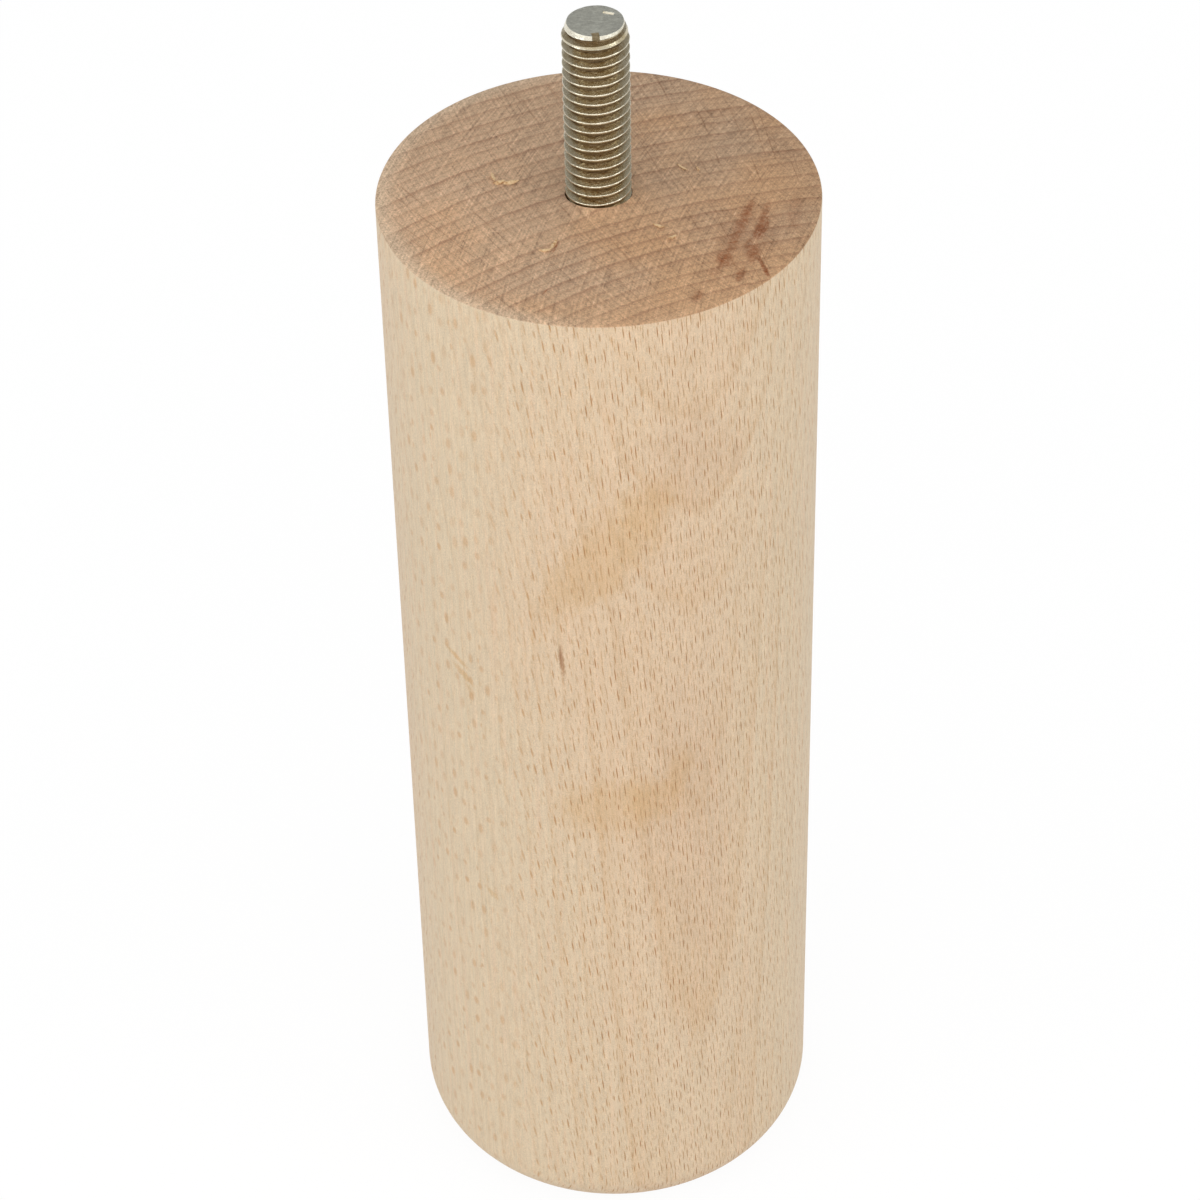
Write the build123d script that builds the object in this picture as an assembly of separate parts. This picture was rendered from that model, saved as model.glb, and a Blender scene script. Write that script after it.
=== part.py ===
from build123d import *

import math
import os

# A turned beech furniture foot with a hanger bolt in its sawn end.
# Millimetres, +Z up, origin at the middle of the face that stands on the floor.

# Turned leg
LEG_DIAMETER = 52.0
LEG_HEIGHT = 150.0
FLOOR_EDGE_RADIUS = 7.5
SEAT_EDGE_BREAK = 0.3

# Hanger bolt: the stud outside the leg, drawn at the crests of its M8 thread
STUD_DIAMETER = 7.8
STUD_LENGTH = 23.5
STUD_END_TAPER = 0.65
STUD_END_TAPER_LENGTH = 1.7

# Hanger bolt: the plain shank below the stud, flush with the seat face
SHANK_DIAMETER = 7.1
SHANK_LENGTH = 9.5

# Hanger bolt: the screw end below the shank, drawn at the crests of its wood thread, and its point
SCREW_DIAMETER = 7.6
SCREW_LENGTH = 20.0
POINT_LENGTH = 7.0

# Hole in the leg: a wide mouth round the stud, then a bore round the screw end
MOUTH_CLEARANCE = 0.15
MOUTH_DEPTH = 2.0
BORE_CLEARANCE = 0.05
BORE_SPARE_DEPTH = 2.0
DRILL_POINT_ANGLE = 118.0

# Levels along the axis
SEAT = LEG_HEIGHT
STUD_END = SEAT + STUD_LENGTH
SHOULDER = SEAT - SHANK_LENGTH
POINT_START = SHOULDER - SCREW_LENGTH
POINT_END = POINT_START - POINT_LENGTH
BORE_END = POINT_END - BORE_SPARE_DEPTH


def turned(*points):
    """A solid of revolution about Z from the (radius, height) points of its half section."""
    return revolve(Plane.XZ * make_face(Polyline(*points, close=True)), Axis.Z)


def hanger_bolt():
    """Stud, shank, screw end and point, as one bar of steel."""
    stud = STUD_DIAMETER / 2
    shank = SHANK_DIAMETER / 2
    screw = SCREW_DIAMETER / 2
    return turned(
        (0, STUD_END),
        (stud - STUD_END_TAPER, STUD_END),
        (stud, STUD_END - STUD_END_TAPER_LENGTH),
        (stud, SEAT),
        (shank, SEAT),
        (shank, SHOULDER),
        (screw, SHOULDER),
        (screw, POINT_START),
        (0, POINT_END),
    )


def bolt_hole():
    """The mouth and the bore with its drill point, as one drilled space."""
    mouth = STUD_DIAMETER / 2 + MOUTH_CLEARANCE
    bore = max(SHANK_DIAMETER, SCREW_DIAMETER) / 2 + BORE_CLEARANCE
    drill_point = bore / math.tan(math.radians(DRILL_POINT_ANGLE / 2))
    mouth_end = SEAT - MOUTH_DEPTH
    mouth_cut = turned((0, SEAT), (mouth, SEAT), (mouth, mouth_end), (0, mouth_end))
    bore_cut = turned((0, SEAT), (bore, SEAT), (bore, BORE_END), (0, BORE_END - drill_point))
    return mouth_cut + bore_cut


def leg_body():
    """The turned leg, rounded where it meets the floor and drilled for the bolt."""
    blank = Cylinder(LEG_DIAMETER / 2, LEG_HEIGHT, align=(Align.CENTER, Align.CENTER, Align.MIN))
    rims = blank.edges().filter_by(GeomType.CIRCLE).sort_by(Axis.Z)
    blank = fillet(rims[0], FLOOR_EDGE_RADIUS)
    rims = blank.edges().filter_by(GeomType.CIRCLE).sort_by(Axis.Z)
    blank = chamfer(rims[-1], SEAT_EDGE_BREAK)
    return blank - bolt_hole()


os.makedirs("parts", exist_ok=True)
export_step(leg_body(), "parts/leg_body.step")
export_step(hanger_bolt(), "parts/hanger_bolt.step")
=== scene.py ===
"""Dresses the turned beech furniture foot: its leg, the hanger bolt in it and their light."""

import logging
import math
import random
from collections.abc import Callable, Iterator, Mapping, Sequence
from contextlib import contextmanager
from dataclasses import dataclass
from enum import Enum
from typing import Any

import bmesh
import bpy
from mathutils import Matrix, Vector


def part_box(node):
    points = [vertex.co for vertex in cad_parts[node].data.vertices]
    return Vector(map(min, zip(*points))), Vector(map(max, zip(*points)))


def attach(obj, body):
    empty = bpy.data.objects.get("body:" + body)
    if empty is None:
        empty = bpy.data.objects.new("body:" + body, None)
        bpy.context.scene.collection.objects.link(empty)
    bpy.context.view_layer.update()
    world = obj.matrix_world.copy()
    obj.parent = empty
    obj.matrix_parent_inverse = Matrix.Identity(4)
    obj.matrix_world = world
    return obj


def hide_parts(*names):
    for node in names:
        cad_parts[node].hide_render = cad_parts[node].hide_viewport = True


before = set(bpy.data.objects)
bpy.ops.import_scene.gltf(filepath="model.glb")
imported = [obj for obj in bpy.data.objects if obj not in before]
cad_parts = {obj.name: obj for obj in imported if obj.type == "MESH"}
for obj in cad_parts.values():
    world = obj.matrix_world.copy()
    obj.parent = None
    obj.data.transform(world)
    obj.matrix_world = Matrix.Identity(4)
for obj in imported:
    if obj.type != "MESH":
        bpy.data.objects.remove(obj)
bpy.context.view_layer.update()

LOG = logging.getLogger("furniture_foot")
MM = 0.001
TOUCH = 0.002
MERGE = 0.0005
THREAD_MERGE = 0.001
SAW_ARBOR = (113.0, -41.0)
RING_RATE = 20  # radians of ring per unit in Blender's wood texture
WHITE = (1.0, 1.0, 1.0, 1.0)
BODY = "root"

Colour = tuple[float, float, float, float]
Pair = tuple[float, float]
Point = tuple[float, float, float]
Test = Callable[[list[Vector]], bool]


def tone(red: int, green: int, blue: int) -> Colour:
    """A colour as a screen shows it, turned into the linear values that Blender works in.

    Args:
        red: red from 0 to 255.
        green: green from 0 to 255.
        blue: blue from 0 to 255.

    Returns:
        The linear colour, opaque.
    """
    parts = [value / 255 for value in (red, green, blue)]
    linear = [part / 12.92 if part <= 0.04045 else ((part + 0.055) / 1.055) ** 2.4 for part in parts]
    return (linear[0], linear[1], linear[2], 1.0)


class Slot(Enum):
    """The record's material slots."""

    BEECH = "beech"
    STEEL = "plated_steel"


class Pick(Enum):
    """What is selected in edit mode."""

    VERTS = "VERT"
    EDGES = "EDGE"
    FACES = "FACE"


class Join(Enum):
    """How one solid is worked with another."""

    ADD = "UNION"
    KEEP_SHARED = "INTERSECT"
    CUT = "DIFFERENCE"


class Bench:
    """One mesh, shaped with Blender's own operators. Its sizes are given in millimetres."""

    def __init__(self, name: str) -> None:
        """Takes up the primitive that was just added.

        Args:
            name: the name of the piece.
        """
        self.piece: bpy.types.Object = bpy.context.object
        self.piece.name = self.piece.data.name = name
        bpy.ops.object.transform_apply(location=True, rotation=True, scale=True)

    @classmethod
    def bar(cls, name: str, radius: float, bottom: float, top: float, sides: int) -> "Bench":
        """Starts a round bar on the Z axis.

        Args:
            name: the name of the piece.
            radius: its radius.
            bottom: the height of its lower end.
            top: the height of its upper end.
            sides: how many sides stand for the round.

        Returns:
            The bench that holds it.
        """
        bpy.ops.object.select_all(action="DESELECT")
        middle = (0, 0, (top + bottom) / 2 * MM)
        bpy.ops.mesh.primitive_cylinder_add(
            vertices=sides, radius=radius * MM, depth=(top - bottom) * MM, location=middle)
        return cls(name)

    @classmethod
    def block(cls, name: str, sizes: Point) -> "Bench":
        """Starts a block about the origin.

        Args:
            name: the name of the piece.
            sizes: its sizes along X, Y and Z.

        Returns:
            The bench that holds it.
        """
        bpy.ops.object.select_all(action="DESELECT")
        bpy.ops.mesh.primitive_cube_add(size=1.0)
        bpy.context.object.scale = [size * MM for size in sizes]
        return cls(name)

    @classmethod
    def chain(cls, name: str, points: Sequence[Pair]) -> "Bench":
        """Starts an open chain of edges in the XZ plane, as the section of a screw thread.

        Args:
            name: the name of the piece.
            points: the (radius, height) points of the section, from its lower end up.

        Returns:
            The bench that holds it.
        """
        bpy.ops.object.select_all(action="DESELECT")
        bpy.ops.mesh.primitive_circle_add(vertices=len(points), radius=MM)
        made = cls(name)
        for vertex, (radius, height) in zip(made.piece.data.vertices, points):
            vertex.co = (radius * MM, 0, height * MM)
        span = (points[-1][1] - points[0][1]) * MM
        with made.editing():
            made.pick(Pick.EDGES, lambda ends: abs(ends[0].z - ends[1].z) > 0.9 * span)
            bpy.ops.mesh.delete(type="EDGE")
        return made

    @contextmanager
    def editing(self) -> Iterator[None]:
        """Puts this piece alone in edit mode, and out of it again at the end."""
        bpy.ops.object.select_all(action="DESELECT")
        self.piece.select_set(True)
        bpy.context.view_layer.objects.active = self.piece
        bpy.ops.object.mode_set(mode="EDIT")
        yield
        bpy.ops.object.mode_set(mode="OBJECT")

    def pick(self, what: Pick, test: Test) -> None:
        """Selects vertices, edges or faces by where they are, and nothing else.

        Args:
            what: which of them are selected.
            test: says whether one is selected, from the places of its vertices in metres.
        """
        bpy.ops.mesh.select_mode(type=what.value)
        bpy.ops.mesh.select_all(action="DESELECT")
        mesh = bmesh.from_edit_mesh(self.piece.data)
        items = {Pick.VERTS: mesh.verts, Pick.EDGES: mesh.edges, Pick.FACES: mesh.faces}[what]
        for item in items:
            places = [item.co] if what is Pick.VERTS else [vertex.co for vertex in item.verts]
            item.select_set(test(places))
        mesh.select_flush_mode()
        bmesh.update_edit_mesh(self.piece.data)

    def pick_level(self, what: Pick, height: float) -> None:
        """Selects the vertices, edges or faces that lie wholly at one height in millimetres."""
        self.pick(what, lambda places: all(abs(place.z / MM - height) < TOUCH for place in places))

    @staticmethod
    def push(rise: float) -> None:
        """Extrudes the selected faces up by a height in millimetres, or down by one below zero."""
        bpy.ops.mesh.extrude_region_move(TRANSFORM_OT_translate={"value": (0, 0, rise * MM)})

    def modify(self, kind: str, settings: Mapping[str, Any]) -> None:
        """Adds a modifier and applies it.

        Args:
            kind: Blender's name for the modifier's type.
            settings: its settings by name.
        """
        modifier = self.piece.modifiers.new(kind.lower(), kind)
        for name, value in settings.items():
            setattr(modifier, name, value)
        bpy.context.view_layer.objects.active = self.piece
        bpy.ops.object.modifier_apply(modifier=modifier.name)

    def work(self, tool: "Bench", how: Join) -> None:
        """Adds another solid to this one or cuts it by it, and takes the other away."""
        self.modify("BOOLEAN", {"operation": how.value, "object": tool.piece, "solver": "EXACT"})
        bpy.data.objects.remove(tool.piece)

    def close_ends(self, middle: float) -> None:
        """Closes the two open ends of a wound bar with a flat cone each.

        Args:
            middle: a height between the two ends.
        """
        for upper in (False, True):
            with self.editing():
                bpy.ops.mesh.select_mode(type=Pick.EDGES.value)
                bpy.ops.mesh.select_non_manifold(extend=False, use_wire=False, use_multi_face=False)
                mesh = bmesh.from_edit_mesh(self.piece.data)
                for edge in mesh.edges:
                    if edge.select and (edge.verts[0].co.z > middle * MM) != upper:
                        edge.select_set(False)
                bmesh.update_edit_mesh(self.piece.data)
                bpy.ops.mesh.extrude_edges_move()
                bpy.ops.mesh.merge(type="CENTER")
        with self.editing():
            bpy.ops.mesh.select_all(action="SELECT")
            bpy.ops.mesh.normals_make_consistent(inside=False)

    def finish(self, smooth_below: float) -> bpy.types.Object:
        """Merges doubles, turns the faces outwards and smooths the flat edges.

        Args:
            smooth_below: edges that turn by fewer degrees than this are shaded smooth.

        Returns:
            The finished object.
        """
        with self.editing():
            bpy.ops.mesh.select_all(action="SELECT")
            bpy.ops.mesh.remove_doubles(threshold=MERGE * MM)
            bpy.ops.mesh.normals_make_consistent(inside=False)
        bpy.ops.object.shade_smooth_by_angle(angle=math.radians(smooth_below))
        return self.piece


class Signal:
    """One socket of a node tree, with shader maths written as Python."""

    def __init__(self, board: "Board", socket: bpy.types.NodeSocket) -> None:
        """Wraps an output socket of a node tree."""
        self.board = board
        self.socket = socket

    def __add__(self, other: "Feed") -> "Signal":
        """This value plus another."""
        return self.board.math("ADD", self, other)

    def __radd__(self, other: "Feed") -> "Signal":
        """Another value plus this one."""
        return self.board.math("ADD", other, self)

    def __sub__(self, other: "Feed") -> "Signal":
        """This value less another."""
        return self.board.math("SUBTRACT", self, other)

    def __rsub__(self, other: "Feed") -> "Signal":
        """Another value less this one."""
        return self.board.math("SUBTRACT", other, self)

    def __mul__(self, other: "Feed") -> "Signal":
        """This value times another."""
        return self.board.math("MULTIPLY", self, other)

    def __rmul__(self, other: "Feed") -> "Signal":
        """Another value times this one."""
        return self.board.math("MULTIPLY", other, self)

    def __truediv__(self, other: "Feed") -> "Signal":
        """This value over another."""
        return self.board.math("DIVIDE", self, other)

    def __rtruediv__(self, other: "Feed") -> "Signal":
        """Another value over this one."""
        return self.board.math("DIVIDE", other, self)

    def __pow__(self, other: "Feed") -> "Signal":
        """This value to a power."""
        return self.board.math("POWER", self, other)


Feed = Signal | float | Sequence[float]
Settings = Mapping[str, Any] | None
Sockets = Mapping[Any, Feed] | None


class Board:
    """A node tree that is filled from Python."""

    def __init__(self, tree: bpy.types.NodeTree) -> None:
        """Clears the node tree of a material or a world."""
        self.tree = tree
        tree.nodes.clear()

    def node(self, kind: str, settings: Settings = None, sockets: Sockets = None) -> bpy.types.Node:
        """Adds a node of any type.

        Args:
            kind: the node's type, without its leading ShaderNode.
            settings: its settings, set first; "stops" are a ramp's (position, colour or value) pairs.
            sockets: values or links for its inputs, by name or number.

        Returns:
            The node.
        """
        made = self.tree.nodes.new("ShaderNode" + kind)
        for name, value in (settings or {}).items():
            if name == "stops":
                self._set_stops(made.color_ramp, value)
            else:
                setattr(made, name, value)
        for key, feed in (sockets or {}).items():
            if isinstance(feed, Signal):
                self.tree.links.new(feed.socket, made.inputs[key])
            else:
                made.inputs[key].default_value = feed
        return made

    @staticmethod
    def _set_stops(ramp: bpy.types.ColorRamp, stops: Sequence[tuple[float, Any]]) -> None:
        """Places a ramp's stops.

        Args:
            ramp: the ramp.
            stops: (position, colour or grey value) pairs.
        """
        while len(ramp.elements) < len(stops):
            ramp.elements.new(0.5)
        for element, (position, value) in zip(ramp.elements, stops):
            element.position = position
            element.color = value if isinstance(value, tuple) else (value, value, value, 1.0)

    def out(
        self, kind: str, settings: Settings = None, sockets: Sockets = None, output: int | str = 0
    ) -> Signal:
        """Adds a node of any type and gives the output of that name or number."""
        return Signal(self, self.node(kind, settings, sockets).outputs[output])

    def math(self, operation: str, *feeds: Feed) -> Signal:
        """The result of a Math node, by Blender's name for it, on values in order."""
        return self.out("Math", {"operation": operation}, dict(enumerate(feeds)))

    def step(self, value: Feed, start: Feed, end: Feed) -> Signal:
        """Goes smoothly from 0 at start to 1 at end, whichever of them is larger."""
        sockets = {"Value": value, "From Min": start, "From Max": end}
        return self.out("MapRange", {"interpolation_type": "SMOOTHSTEP", "clamp": True}, sockets)

    def largest(self, one: Feed, other: Feed) -> Signal:
        """The larger of two values."""
        return self.math("MAXIMUM", one, other)

    def chance(self, value: Signal) -> Signal:
        """A random number from 0 to 1, the same each time for the same value."""
        return self.out("TexWhiteNoise", {"noise_dimensions": "1D"}, {"W": value})

    def joined(self, x: Feed, y: Feed, z: Feed = 0.0) -> Signal:
        """A vector from three values."""
        return self.out("CombineXYZ", None, {0: x, 1: y, 2: z})

    def noise(self, vector: Signal, scales: Point, detail: float = 2.0, rough: float = 0.5) -> Signal:
        """A cloud of noise about zero.

        Args:
            vector: where it is read.
            scales: how many grains it has per unit along each axis.
            detail: how many finer layers it has.
            rough: how strong they are.

        Returns:
            The noise, mostly between -0.3 and 0.3.
        """
        stretched = self.out("VectorMath", {"operation": "MULTIPLY"}, {0: vector, 1: scales})
        sockets = {"Vector": stretched, "Scale": 1.0, "Detail": detail, "Roughness": rough}
        return self.out("TexNoise", {"noise_dimensions": "3D"}, sockets) - 0.5

    def mix(self, share: Feed, below: Feed, above: Feed, blend: str = "MIX") -> Signal:
        """A colour with a share of another over it."""
        return self.out("Mix", {"data_type": "RGBA", "blend_type": blend}, {0: share, 6: below, 7: above}, 2)

    def shade(self, colour: Signal, factor: Signal) -> Signal:
        """A colour made lighter or darker by a factor about 1."""
        return self.mix(1.0, colour, self.joined(factor, factor, factor), "MULTIPLY")


class Surface:
    """A material under way: its node tree, and the place on the piece in millimetres."""

    def __init__(self, name: str) -> None:
        """Starts a material.

        Args:
            name: its name.
        """
        self.material = bpy.data.materials.new(name)
        self.material.use_nodes = True
        self.board = Board(self.material.node_tree)
        self.place = self.board.out("VectorMath", {"operation": "SCALE"}, {
            "Vector": self.board.out("TexCoord", output="Object"), "Scale": 1 / MM})
        split = self.board.node("SeparateXYZ", None, {0: self.place})
        self.x, self.y, self.z = (Signal(self.board, output) for output in split.outputs)

    def noise(self, grain: Point, detail: float = 2.0, rough: float = 0.5) -> Signal:
        """A cloud of noise about zero at this place, with so many grains per millimetre."""
        return self.board.noise(self.place, grain, detail, rough)

    def reach(self, axis: Pair = (0.0, 0.0)) -> Signal:
        """How far the place is from an upright axis."""
        return self.board.math("SQRT", (self.x - axis[0]) ** 2.0 + (self.y - axis[1]) ** 2.0)

    def bearing(self, axis: Pair) -> Signal:
        """The direction of the place from an upright axis, in radians."""
        return self.board.math("ARCTAN2", self.y - axis[1], self.x - axis[0])

    def finish(self, height: Signal, sockets: Mapping[str, Feed]) -> bpy.types.Material:
        """Ends the material with its shader.

        Args:
            height: its fine relief in millimetres.
            sockets: the shader's other values by name.

        Returns:
            The material.
        """
        bump = self.board.out("Bump", None, {"Strength": 1.0, "Distance": MM, "Height": height})
        shader = self.board.out("BsdfPrincipled", None, {**sockets, "Normal": bump})
        self.board.node("OutputMaterial", None, {"Surface": shader})
        return self.material


@dataclass(frozen=True)
class Patch:
    """A stained or tinted spot, as an oval that is turned in its plane. Millimetres and degrees."""

    across: float
    up: float
    wide: float
    tall: float
    turn: float = 0.0
    strength: float = 1.0


@dataclass(frozen=True)
class Dash:
    """How wood rays show on the side: one short dash in each cell of a net, in millimetres."""

    gap: float
    pitch: float
    half_width: float
    half_length: float


@dataclass(frozen=True)
class BeechFinish:
    """Bare sanded beech with a sawn end, as a solid pattern about the middle of the tree it came from."""

    pith: Pair = (34.6, -77.7)
    ring_gap: float = 2.5
    ring_lean: float = 0.0284
    ring_lean_start: float = 0.84
    ring_bend: float = 0.1523
    ring_bend_start: float = 107.0
    ray_slant: float = -0.1
    ray_climb: float = 0.2
    ring_stops: tuple[Pair, ...] = (
        (0.0, 0.4), (0.08, 0.05), (0.3, 0.1), (0.4, 0.62), (0.5, 0.12), (0.82, 0.5), (0.93, 1.0), (1.0, 0.7))
    wander_grain: Point = (0.03, 0.03, 0.012)
    waver_grain: Point = (0.3, 0.3, 0.04)
    uneven_grain: Point = (0.17, 1.0, 1.0)
    faint_grain: Point = (0.16, 0.16, 0.03)
    sway_grain: Point = (0.12, 0.12, 0.012)
    cloud_grain: Point = (0.05, 0.05, 0.018)
    wide_edge_grain: Point = (0.3, 0.3, 0.18)
    fine_edge_grain: Point = (2.6, 2.6, 1.6)
    end_sway_grain: Point = (0.12, 0.12, 0.04)
    end_ray_grain: Point = (2.6, 0.05, 1.0)
    scratch_grain: Point = (3.0, 0.09, 1.0)
    end_cloud_grain: Point = (0.08, 0.08, 0.08)
    end_edge_grain: Point = (2.1, 2.1, 1.3)
    fibre_grain: Point = (6.0, 6.0, 0.4)
    streak_grain: Point = (1.6, 1.6, 0.06)
    mottle_grain: Point = (2.4, 2.4, 0.6)
    fleck_grain: Point = (2.6, 2.6, 0.22)
    pore_grain: Point = (8.0, 8.0, 5.0)
    crumb_grain: Point = (4.5, 4.5, 4.5)
    torn_grain: Point = (2.0, 2.0, 2.0)
    saws: tuple[Point, ...] = ((*SAW_ARBOR, 1.0), (106.0, 56.0, 0.8))
    saw_reach: float = 120.0
    end_blend: Pair = (0.24, 0.1)
    fibre_relief: float = 0.012
    ray_relief: float = 0.010
    crumb_relief: float = 0.07
    scratch_relief: float = 0.06
    end_ray_relief: float = 0.02
    ring_relief: float = 0.015
    side_rough: float = 0.56
    end_rougher: float = 0.26
    large_dash: Dash = Dash(0.85, 2.9, 0.09, 0.46)
    small_dash: Dash = Dash(0.55, 1.9, 0.07, 0.28)
    flake: Dash = Dash(2.1, 3.6, 0.44, 0.42)
    pale: Colour = tone(224, 203, 173)
    warm: Colour = tone(226, 199, 168)
    pink: Colour = tone(220, 188, 158)
    late: Colour = tone(204, 164, 118)
    ray: Colour = tone(148, 94, 48)
    pale_ray: Colour = tone(200, 148, 94)
    tan: Colour = tone(208, 167, 114)
    dull: Colour = tone(204, 172, 142)
    end: Colour = tone(209, 176, 144)
    end_warm: Colour = tone(212, 170, 130)
    end_late: Colour = tone(142, 93, 66)
    end_ray: Colour = tone(138, 90, 56)
    fuzz: Colour = tone(222, 200, 172)
    # The brown of the end's stains, and of the painted shadow beside one torn fibre.
    stain_and_painted_shadow: Colour = tone(142, 79, 42)
    side_patches: tuple[Patch, ...] = (
        Patch(1.0, 117.5, 4.8, 13.0, -39.0, 0.42),
        Patch(4.5, 123.5, 3.5, 4.5, -30.0, 0.25),
        Patch(1.5, 76.5, 9.5, 4.8, 5.0, 0.36),
        Patch(8.5, 80.0, 2.0, 5.0, -12.0, 0.5),
        Patch(5.0, 77.0, 4.0, 3.6, -20.0, 0.35),
    )
    side_flakes: tuple[Patch, ...] = (
        Patch(-20.5, 94.8, 0.5, 2.2, 66.0, 0.55),
        Patch(-19.4, 92.6, 0.7, 2.2, 60.0, 0.6),
        Patch(-18.4, 90.6, 0.5, 1.2, 40.0, 0.4),
        Patch(-16.5, 57.0, 0.6, 1.3, 50.0, 0.45),
    )
    dull_patches: tuple[Patch, ...] = (
        Patch(10.0, 74.0, 7.0, 27.0, 0.0, 0.27),
        Patch(11.0, 129.0, 7.0, 8.0, 0.0, 0.3),
    )
    dark_streaks: tuple[Patch, ...] = (
        Patch(-5.6, 99.8, 0.35, 2.8, 4.0, 0.8),
    )
    # Stains on the sawn end, and one painted shadow of a torn fibre.
    end_stains_and_painted_shadow: tuple[Patch, ...] = (
        Patch(17.0, -9.5, 4.0, 7.5, -15.0, 0.25),
        Patch(16.4, -6.6, 0.8, 4.8, -18.0, 0.7),
        Patch(17.3, -3.6, 0.5, 2.0, -20.0, 0.5),
        Patch(18.9, -5.6, 0.55, 3.4, -14.0, 0.7),
        Patch(18.3, -8.3, 0.75, 1.7, -10.0, 0.9),
        Patch(19.2, -7.2, 0.35, 1.6, -14.0, 0.8),
        Patch(14.1, -13.6, 1.0, 1.7, -10.0, 0.95),
        Patch(15.2, -11.0, 0.7, 1.5, -18.0, 0.6),
        Patch(17.5, -12.4, 0.8, 1.9, -8.0, 0.85),
        Patch(17.0, -10.6, 0.5, 1.4, -20.0, 0.5),
        Patch(18.7, -15.7, 0.35, 1.9, 14.0, 0.95),
        Patch(18.2, -14.0, 0.3, 1.2, 10.0, 0.7),
        Patch(15.9, -16.6, 0.6, 1.5, -18.0, 0.75),
        Patch(13.0, -16.0, 0.9, 1.4, -20.0, 0.35),
        Patch(10.9, -20.5, 0.7, 1.4, -25.0, 0.55),
        Patch(22.6, -4.6, 1.0, 4.0, -8.0, 0.3),
        # Painted shadow: a thin dark line beside the lifted torn fibre, as its shadow.
        Patch(-5.0, -10.5, 0.12, 1.3, -16.0, 1.0),
        Patch(-6.3, -19.2, 0.12, 0.7, -30.0, 0.7),
    )

    def build(self, leg_radius: float, leg_height: float, floor_round: float) -> bpy.types.Material:
        """Makes the material.

        Args:
            leg_radius: the leg's radius in millimetres.
            leg_height: the height of its sawn end.
            floor_round: the radius of its rounded floor edge.

        Returns:
            The material.
        """
        surface = Surface("bare_beech")
        board, z = surface.board, surface.z
        sawn = board.step(z, leg_height - self.end_blend[0], leg_height - self.end_blend[1])
        floor_end = board.step(z, floor_round * 0.8, 0.0)
        rings = self._rings(surface)
        rays, facing = self._rays(surface)
        fibres = surface.noise(self.fibre_grain, 3.0, 0.6)
        side = self._side_colour(surface, leg_radius, rings, rays, facing, fibres)
        crumbs = surface.noise(self.crumb_grain, 3.0, 0.65)
        scratches = self._scratches(surface)
        end_rays = self._end_rays(surface)
        end = self._end_colour(surface, rings, end_rays, crumbs, scratches)
        floor_colour = board.mix(0.55, side, end)
        colour = board.mix(sawn, board.mix(floor_end * 0.7, side, floor_colour), end)
        side_height = fibres * self.fibre_relief - rays * self.ray_relief
        end_height = crumbs * self.crumb_relief + scratches * self.scratch_relief
        end_height = end_height - end_rays * self.end_ray_relief - rings * self.ring_relief
        return surface.finish(side_height * (1 - sawn) + end_height * sawn, {
            "Base Color": colour, "IOR": 1.45, "Specular IOR Level": 0.35,
            "Roughness": self.side_rough + sawn * self.end_rougher + fibres * 0.15 + rays * 0.05})

    def _rings(self, surface: Surface) -> Signal:
        """Growth rings: 0 in the early wood, 1 at the late edge of each year.

        Args:
            surface: the material under way.

        Returns:
            The lateness of the wood.
        """
        board, z = surface.board, surface.z
        reach = surface.reach(self.pith)
        bend = board.math("SMOOTH_MAX", z - self.ring_bend_start, 0.0, 3.0) * self.ring_bend
        lean = z * self.ring_lean + self.ring_lean_start + bend
        wander = surface.noise(self.wander_grain, 1.0) * 1.2
        wander = wander + surface.noise(self.waver_grain, 3.0, 0.6) * 0.9
        uneven = board.noise(board.joined(reach, 0.0), self.uneven_grain, 1.0) * 2.4
        years = (reach - lean + wander + uneven) / self.ring_gap
        strength = board.chance(board.math("FLOOR", years) + 0.37) * 0.4 + 0.6
        faint = surface.noise(self.faint_grain) + 0.85
        season = board.math("FRACT", years)
        return board.out("ValToRGB", {"stops": self.ring_stops}, {0: season}) * strength * faint

    def _rays(self, surface: Surface) -> tuple[Signal, Signal]:
        """Wood rays, as dashes where the face lies along the rings.

        Args:
            surface: the material under way.

        Returns:
            How much ray shows, and 1 where the face lies along the rings or 0 where it lies across them.
        """
        board, x, y, z = surface.board, surface.x, surface.y, surface.z
        away = math.hypot(*self.pith)
        reach = surface.reach(self.pith)
        sway = surface.noise(self.sway_grain, 1.0) * 0.6
        round_pith = surface.bearing(self.pith) * away + z * self.ray_slant + sway
        up = z - (reach - away) * self.ray_climb
        large = self._dashes(board, round_pith, up, self.large_dash)
        small = self._dashes(board, round_pith, up, self.small_dash)
        along = ((x - self.pith[0]) * x + (y - self.pith[1]) * y) / (reach * surface.reach())
        return board.largest(large, small * 0.5), board.math("ABSOLUTE", along)

    @staticmethod
    def _dashes(board: Board, across: Signal, up: Signal, dash: Dash) -> Signal:
        """Scattered dashes of different lengths and strengths.

        Args:
            board: the node tree.
            across: the place across the dashes in millimetres.
            up: the place along them.
            dash: their sizes.

        Returns:
            How much of a dash shows.
        """
        across = across / dash.gap
        up = up / dash.pitch + board.chance(board.math("FLOOR", across) + 0.5) * 3.0
        cells = board.node("TexVoronoi", {"voronoi_dimensions": "2D", "feature": "F1"}, {
            "Vector": board.joined(across, up), "Scale": 1.0, "Randomness": 0.6})
        own = board.node("SeparateColor", None, {0: Signal(board, cells.outputs["Color"])})
        middle = board.node("SeparateXYZ", None, {0: Signal(board, cells.outputs["Position"])})
        length = Signal(board, own.outputs[0]) * 1.5 + 1.0
        aside = (across - Signal(board, middle.outputs[0])) * (dash.gap / dash.half_width)
        along = (up - Signal(board, middle.outputs[1])) * (dash.pitch / dash.half_length) / length
        out = board.math("SQRT", aside ** 2.0 + along ** 2.0)
        return board.step(out, 1.3, 0.4) * (Signal(board, own.outputs[1]) ** 1.5 * 0.65 + 0.35)

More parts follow.
